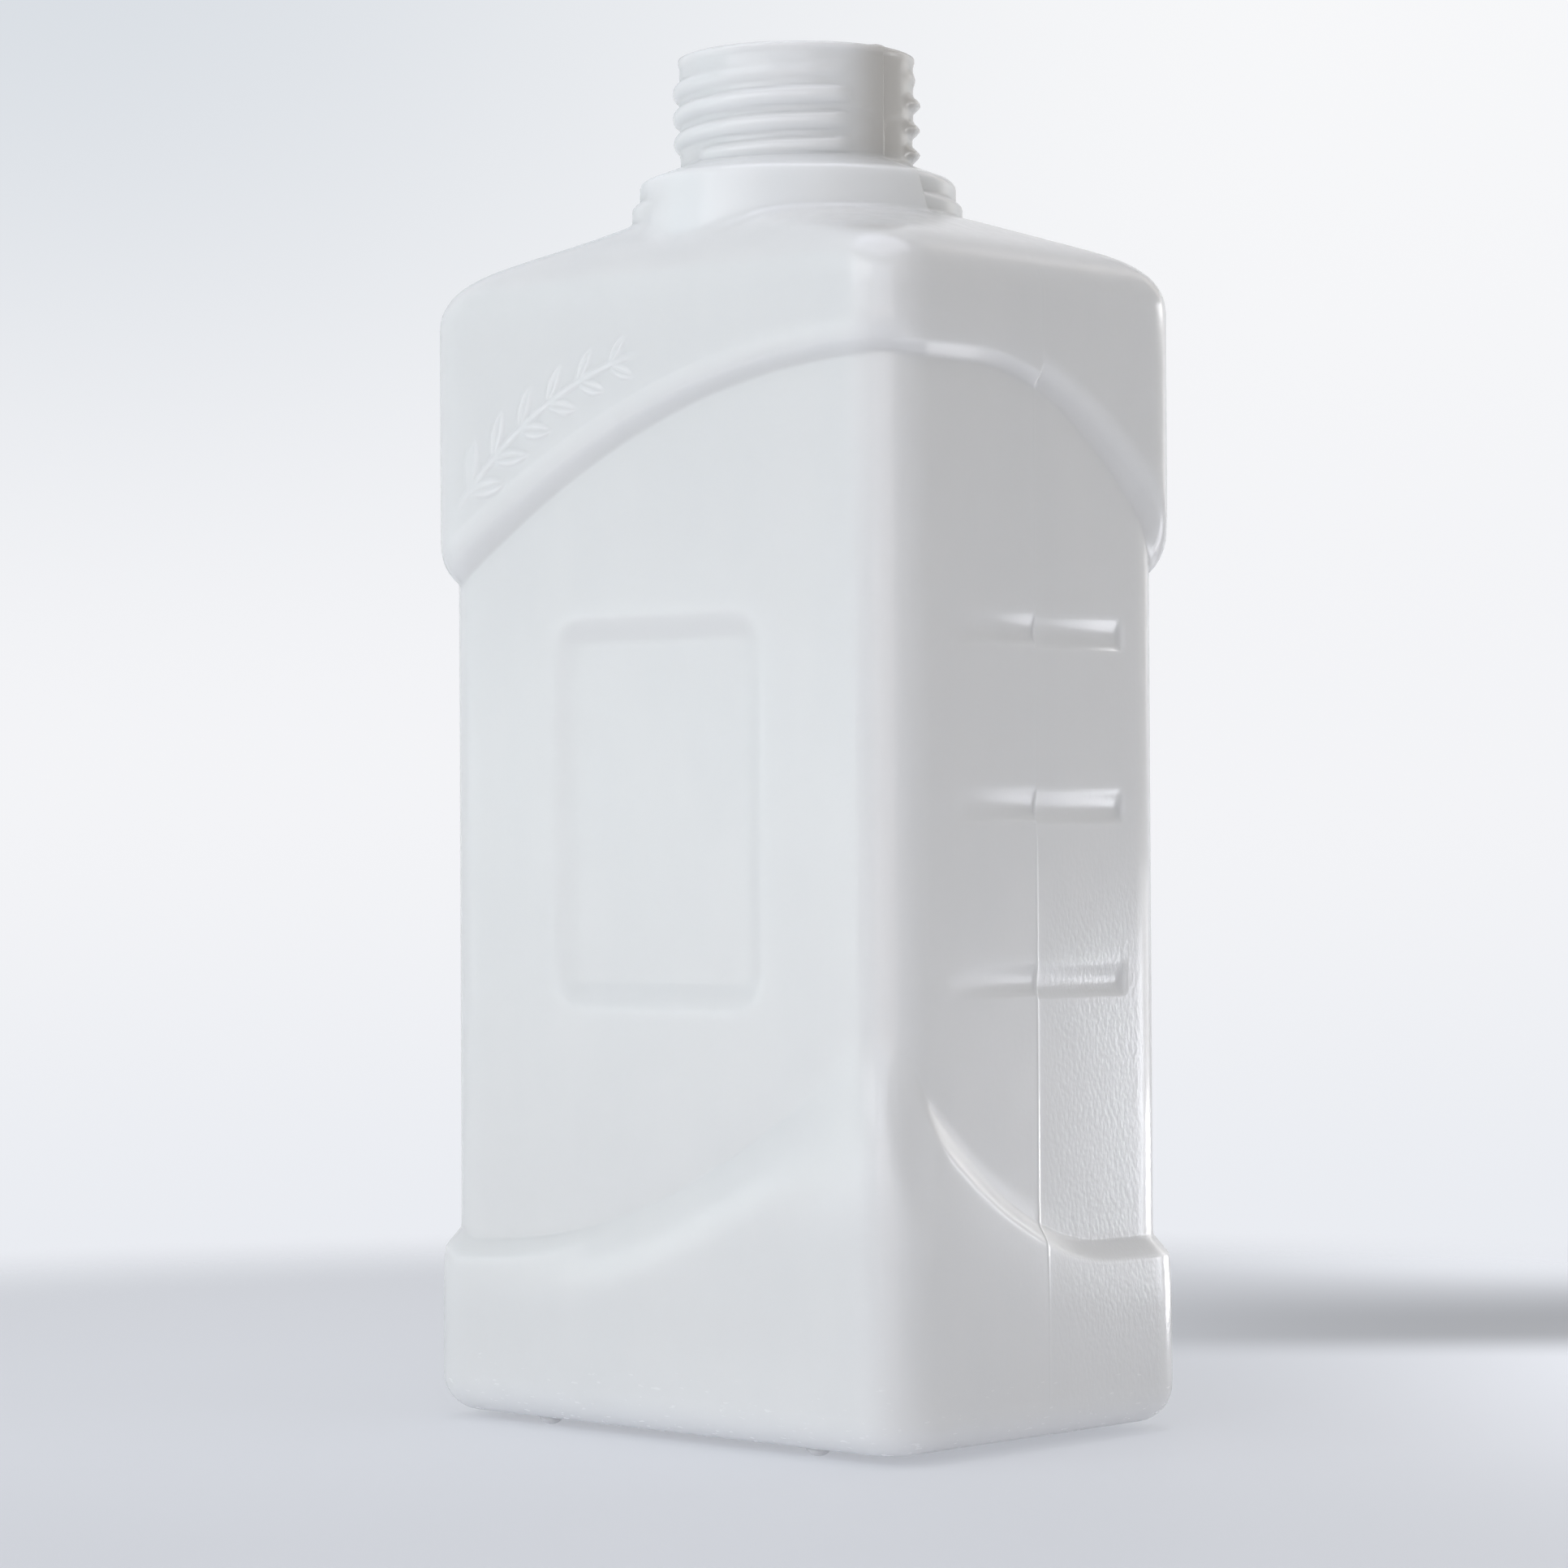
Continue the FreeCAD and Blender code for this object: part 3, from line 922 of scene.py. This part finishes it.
def make_hdpe():
    """Natural HDPE: milky and satin, pebbled where it met the mould last, with specks and scuffs."""
    material = bpy.data.materials.new("natural_hdpe")
    material.use_nodes = True
    nodes = Nodes(material.node_tree)
    shader = material.node_tree.nodes["Principled BSDF"]
    place = nodes.add("ShaderNodeTexCoord").outputs["Object"]
    facing = nodes.add("ShaderNodeTexCoord").outputs["Normal"]
    at = nodes.add("ShaderNodeSeparateXYZ", {0: place})
    toward = nodes.add("ShaderNodeSeparateXYZ", {0: facing})

    # colour: a faint cloudiness, a neck that is a little darker, with painted shade on its side away from
    # the lights, and a few dark specks
    cloudy_white = (0.79, 0.812, 0.825, 1)
    clear_white = (0.81, 0.83, 0.84, 1)
    neck_white = (0.735, 0.75, 0.76, 1)
    neck_shade_color = (0.53, 0.52, 0.5, 1)
    speck_color = (0.16, 0.15, 0.14, 1)
    speck_strength = 0.75
    cloud_size = (14.0, 14.0, 30.0)
    cloud = nodes.ramp(nodes.noise(place, cloud_size), 0.3, 0.7)
    base = nodes.mix_color(cloud, cloudy_white, clear_white)
    on_neck = nodes.ramp(at.outputs["Z"], (collar_edge + 0.8) * MM, (collar_edge + 5.8) * MM)
    # painted shade: the neck is painted greyer toward its side that faces away from the lights
    shaded_side = (0.88, 0.475, 0)
    painted_shade = nodes.ramp(nodes.dot(place, shaded_side), 10 * MM, 16.5 * MM)
    neck_color_and_shade = nodes.mix_color(painted_shade, neck_white, neck_shade_color)
    base = nodes.mix_color(on_neck, base, neck_color_and_shade)
    speck_spacing = 11.0 * MM
    largest_speck = 0.022  # as a share of their spacing
    spot = nodes.add("ShaderNodeTexVoronoi", {"Vector": place, "Scale": 1 / speck_spacing})
    speck_size = nodes.ramp(spot.outputs["Color"], 0.6, 1.0, 0.0, largest_speck)
    speck = nodes.math("LESS_THAN", spot.outputs["Distance"], speck_size)
    base = nodes.mix_color(nodes.math("MULTIPLY", speck, speck_strength), base, speck_color)

    # gloss: satin, a little uneven, duller where the base has rubbed
    smoothest = 0.17
    roughest = 0.23
    scuff_rougher = 0.2
    pebble_rougher = -0.02
    haze = nodes.noise(place, (3.0, 3.0, 7.0), 3.0)
    satin = nodes.ramp(haze, 0.2, 0.8, smoothest, roughest)
    rub = nodes.noise(place, (2.2, 2.2, 0.5), 4.0)
    near_base = nodes.ramp(at.outputs["Z"], 4 * MM, 16 * MM, 1.0, 0.0)
    scuff = nodes.math("MULTIPLY", nodes.ramp(rub, 0.62, 0.72), near_base)

    # relief: orange peel everywhere, upright pebbles on the narrow walls
    peel_size = 0.9
    pebble_size = (0.65, 0.65, 1.1)
    peel = nodes.noise(place, peel_size)
    pebble = nodes.noise(place, pebble_size, 1.5)
    on_narrow = nodes.ramp(nodes.math("ABSOLUTE", toward.outputs["X"]), 0.75, 0.98)
    low_down = nodes.ramp(at.outputs["Z"], 60 * MM, 110 * MM, 1.0, 0.2)
    far_half = nodes.ramp(at.outputs["Y"], -6 * MM, 14 * MM, 0.15, 1.0)
    pebbled = nodes.math("MULTIPLY", nodes.math("MULTIPLY", on_narrow, low_down), far_half)
    pebble_height = nodes.math("MULTIPLY", pebbled, pebble)
    pebble_share = 11.0  # pebbles are this many times as high as the orange peel
    peel_height = 0.004 * MM
    relief = nodes.math("MULTIPLY_ADD", pebble_height, pebble_share, peel)
    bump = nodes.add("ShaderNodeBump", {"Strength": 1.0, "Distance": peel_height, "Height": relief})
    roughness = nodes.math("MULTIPLY_ADD", scuff, scuff_rougher, satin)
    roughness = nodes.math("MULTIPLY_ADD", pebbled, pebble_rougher, roughness)

    for socket, value in (("Base Color", base), ("Roughness", roughness), ("Normal", bump.outputs[0])):
        material.node_tree.links.new(value, shader.inputs[socket])
    shader.inputs["IOR"].default_value = 1.54
    shader.inputs["Subsurface Weight"].default_value = 1.0
    shader.inputs["Subsurface Radius"].default_value = (1.0, 1.0, 1.0)
    shader.inputs["Subsurface Scale"].default_value = 0.003
    return material


hdpe = make_hdpe()
for piece in pieces:
    piece.data.materials.append(hdpe)


# ---- Stage, light and camera ----
camera_turn = math.radians(43.36)  # the camera stands this far round from straight in front
to_right = np.array([math.cos(camera_turn), math.sin(camera_turn), 0])
to_back = np.array([-math.sin(camera_turn), math.cos(camera_turn), 0])
upward = np.array([0, 0, 1])


def studio_place(right, back, up):
    """A place in metres, given as it is seen from the camera's side of the bottle."""
    return right * to_right + back * to_back + up * upward


def make_floor():
    """A sheet of pale paper that fades into the backdrop some way behind the bottle."""
    size = 1500
    paper_white = (0.72, 0.74, 0.78, 1)
    own_light = (0.72, 0.74, 0.79, 1)
    milky_light = (0.16, 0.155, 0.165, 1)
    verts = [(-size, -size, 0), (size, -size, 0), (size, size, 0), (-size, size, 0)]
    floor = mesh_object("floor", verts, [[0, 1, 2, 3]])
    material = bpy.data.materials.new("floor_paper")
    material.use_nodes = True
    nodes = Nodes(material.node_tree)
    shader = material.node_tree.nodes["Principled BSDF"]
    shader.inputs["Base Color"].default_value = paper_white
    shader.inputs["Roughness"].default_value = 0.6
    place = nodes.add("ShaderNodeTexCoord").outputs["Object"]
    distance = nodes.add("ShaderNodeVectorMath", {0: place}, operation="LENGTH").outputs["Value"]
    seen = nodes.seen()

    # painted light and shade on the paper: a painted pool of light far to the right, a painted shadow band
    # across it there some way behind the bottle, and painted shade that makes it a little darker toward the
    # camera
    across = nodes.dot(place, to_right)
    behind = nodes.dot(place, to_back)
    painted_light_pool = nodes.math("MULTIPLY", nodes.ramp(across, 0.06, 0.16), nodes.ramp(behind, -0.14, 0.06))
    painted_light_and_shade = nodes.math("MULTIPLY_ADD", painted_light_pool, 0.5, nodes.ramp(behind, -0.14, -0.02, 0.9, 1.0))
    # painted shadow: a dim band across the paper behind the bottle, darkest far to the right
    band_start = nodes.ramp(behind, 0.08, 0.125)
    shadow_band_end = nodes.ramp(behind, 0.14, 0.27, 1.0, 0.0)
    band = nodes.math("MULTIPLY", band_start, shadow_band_end)
    painted_shadow = nodes.math("MULTIPLY", band, nodes.ramp(across, 0.0, 0.17, 0.0, 1.2))
    painted_light_and_shade = nodes.math("SUBTRACT", painted_light_and_shade, painted_shadow)

    # half of what is seen of the paper is its own light, which keeps the bottle's shadow pale, and
    # what other rays meet glows a little, as for light that comes down through the milky bottle
    own_share = 0.5
    paper = nodes.add("ShaderNodeEmission", {"Color": own_light, "Strength": painted_light_and_shade})
    lit = nodes.add("ShaderNodeMixShader", {0: own_share, 1: shader.outputs[0], 2: paper.outputs[0]})
    glow = nodes.add("ShaderNodeEmission", {"Color": milky_light, "Strength": 1.0})
    glowing = nodes.add("ShaderNodeAddShader", {0: shader.outputs[0], 1: glow.outputs[0]})
    look = nodes.add("ShaderNodeMixShader", {0: seen, 1: glowing.outputs[0], 2: lit.outputs[0]})

    gone = nodes.math("MULTIPLY", nodes.ramp(distance, 0.24, 0.36), seen)
    clear = nodes.add("ShaderNodeBsdfTransparent")
    both = nodes.add("ShaderNodeMixShader", {0: gone, 1: look.outputs[0], 2: clear.outputs[0]})
    out = material.node_tree.nodes["Material Output"]
    material.node_tree.links.new(both.outputs[0], out.inputs["Surface"])
    floor.data.materials.append(material)


def make_camera():
    """A long lens, nearly level, in front of the bottle's near corner."""
    pitch = math.radians(90.785)
    roll = math.radians(-0.287)
    data = bpy.data.cameras.new("camera")
    data.sensor_width = 36
    data.lens = 104.98
    camera = bpy.data.objects.new("camera", data)
    bpy.context.scene.collection.objects.link(camera)
    bpy.context.scene.camera = camera
    camera.location = studio_place(-0.00249, -0.7005, 0.088)
    turn = Matrix.Rotation(camera_turn, 3, "Z")
    turn = turn @ Matrix.Rotation(pitch, 3, "X") @ Matrix.Rotation(roll, 3, "Z")
    camera.rotation_euler = turn.to_euler("XYZ")


def area_light(name, place, size, power, diffuse=True, gloss=True):
    """A soft box aimed at the bottle's middle: a studio_place, and watts for red, green and blue."""
    data = bpy.data.lights.new(name, "AREA")
    data.shape = "RECTANGLE"
    data.size = size[0]
    data.size_y = size[1]
    strongest = max(power)
    data.energy = strongest
    data.color = [p / strongest for p in power]
    lamp = bpy.data.objects.new(name, data)
    bpy.context.scene.collection.objects.link(lamp)
    lamp.location = studio_place(*place)
    middle = Vector((0, 0, 0.1))
    aim = middle - lamp.location
    lamp.rotation_euler = aim.to_track_quat("-Z", "Y").to_euler()
    lamp.visible_camera = False
    lamp.visible_diffuse = diffuse
    lamp.visible_glossy = gloss


def make_lights():
    area_light("left_box", (-0.9, 0, 0.45), (0.8, 0.8), (0.54, 0.77, 0.81))
    area_light("left_back_box", (-0.7, 0.6, 0.5), (0.6, 0.8), (0.3, 0.29, 0.33))
    area_light("key_box", (-0.75, -0.6, 0.6), (0.8, 0.7), (3.15, 3.18, 3.32))
    area_light("low_left_strip", (-0.8, -0.1, 0.08), (0.6, 0.15), (0.24, 0.26, 0.25))
    area_light("front_box", (-0.15, -1.05, 0.6), (0.8, 0.8), (2.0, 2.08, 2.34))
    area_light("low_front_strip", (-0.1, -1.0, 0.1), (0.8, 0.3), (0.64, 0.54, 0.51))
    area_light("top_box", (0, 0, 1.1), (0.9, 0.9), (3.5, 3.55, 4.07))
    area_light("right_back_box", (0.64, 0.62, 0.5), (0.25, 0.8), (0.44, 0.41, 0.38))
    area_light("right_back_card", (0.4, 0.45, 0.2), (0.3, 0.3), (0.1, 0.11, 0.12))
    area_light("right_window", (0.72, 0.34, 0.17), (0.4, 0.3), (0.09, 0.085, 0.075))
    area_light("right_low_card", (0.345, 0.055, 0.034), (0.06, 0.07), (0.078, 0.079, 0.084))
    # soft light from the table, which shows as no highlight
    area_light("table_card", (0.19, 0.07, 0.004), (0.14, 0.16), (0.045, 0.043, 0.041), gloss=False)
    area_light("front_table_card", (-0.1, -0.27, 0.004), (0.28, 0.15), (0.1, 0.1, 0.102), gloss=False)
    area_light("low_side_card", (0.2, -0.13, 0.004), (0.16, 0.1), (0.028, 0.027, 0.027), gloss=False)
    # small reflectors close beside the bottle, which only show as highlights on its ledges and grooves
    area_light("upper_reflector", (0.14, 0.04, 0.186), (0.04, 0.016), (0.01, 0.01, 0.0102), diffuse=False)
    area_light("lower_reflector", (0.14, 0.043, 0.057), (0.07, 0.054), (0.018, 0.018, 0.0185), diffuse=False)
    area_light("table_reflector", (0.19, 0.105, 0.004), (0.07, 0.07), (0.16, 0.16, 0.165), diffuse=False)


def make_world():
    """Dim room light on the bottle, and a pale backdrop where the camera looks past it."""
    room_light = (0.225, 0.212, 0.172, 1)
    below_color = (0.82, 0.84, 0.885, 1)
    level_color = (0.9, 0.905, 0.93, 1)
    high_left_color = (0.70, 0.735, 0.78, 1)
    high_right_color = (0.93, 0.935, 0.95, 1)
    world = bpy.data.worlds.new("world")
    bpy.context.scene.world = world
    world.use_nodes = True
    nodes = Nodes(world.node_tree)
    room = world.node_tree.nodes["Background"]
    room.inputs["Color"].default_value = room_light
    room.inputs["Strength"].default_value = 1.0
    direction = nodes.add("ShaderNodeTexCoord").outputs["Generated"]
    rise = nodes.add("ShaderNodeSeparateXYZ", {0: direction}).outputs["Z"]
    sideways = nodes.dot(direction, to_right)
    low = nodes.mix_color(nodes.ramp(rise, -0.1, 0.02), below_color, level_color)
    to_the_right = nodes.ramp(sideways, -0.17, 0.12)
    high = nodes.mix_color(to_the_right, high_left_color, high_right_color)
    backdrop_color = nodes.mix_color(nodes.ramp(rise, 0.02, 0.2), low, high)
    backdrop = nodes.add("ShaderNodeBackground", {"Color": backdrop_color, "Strength": 1.0})
    seen = nodes.seen()
    both = nodes.add("ShaderNodeMixShader", {0: seen, 1: room.outputs[0], 2: backdrop.outputs[0]})
    out = world.node_tree.nodes["World Output"]
    world.node_tree.links.new(both.outputs[0], out.inputs["Surface"])


make_floor()
make_camera()
make_lights()
make_world()
bpy.context.scene.view_settings.view_transform = "Standard"
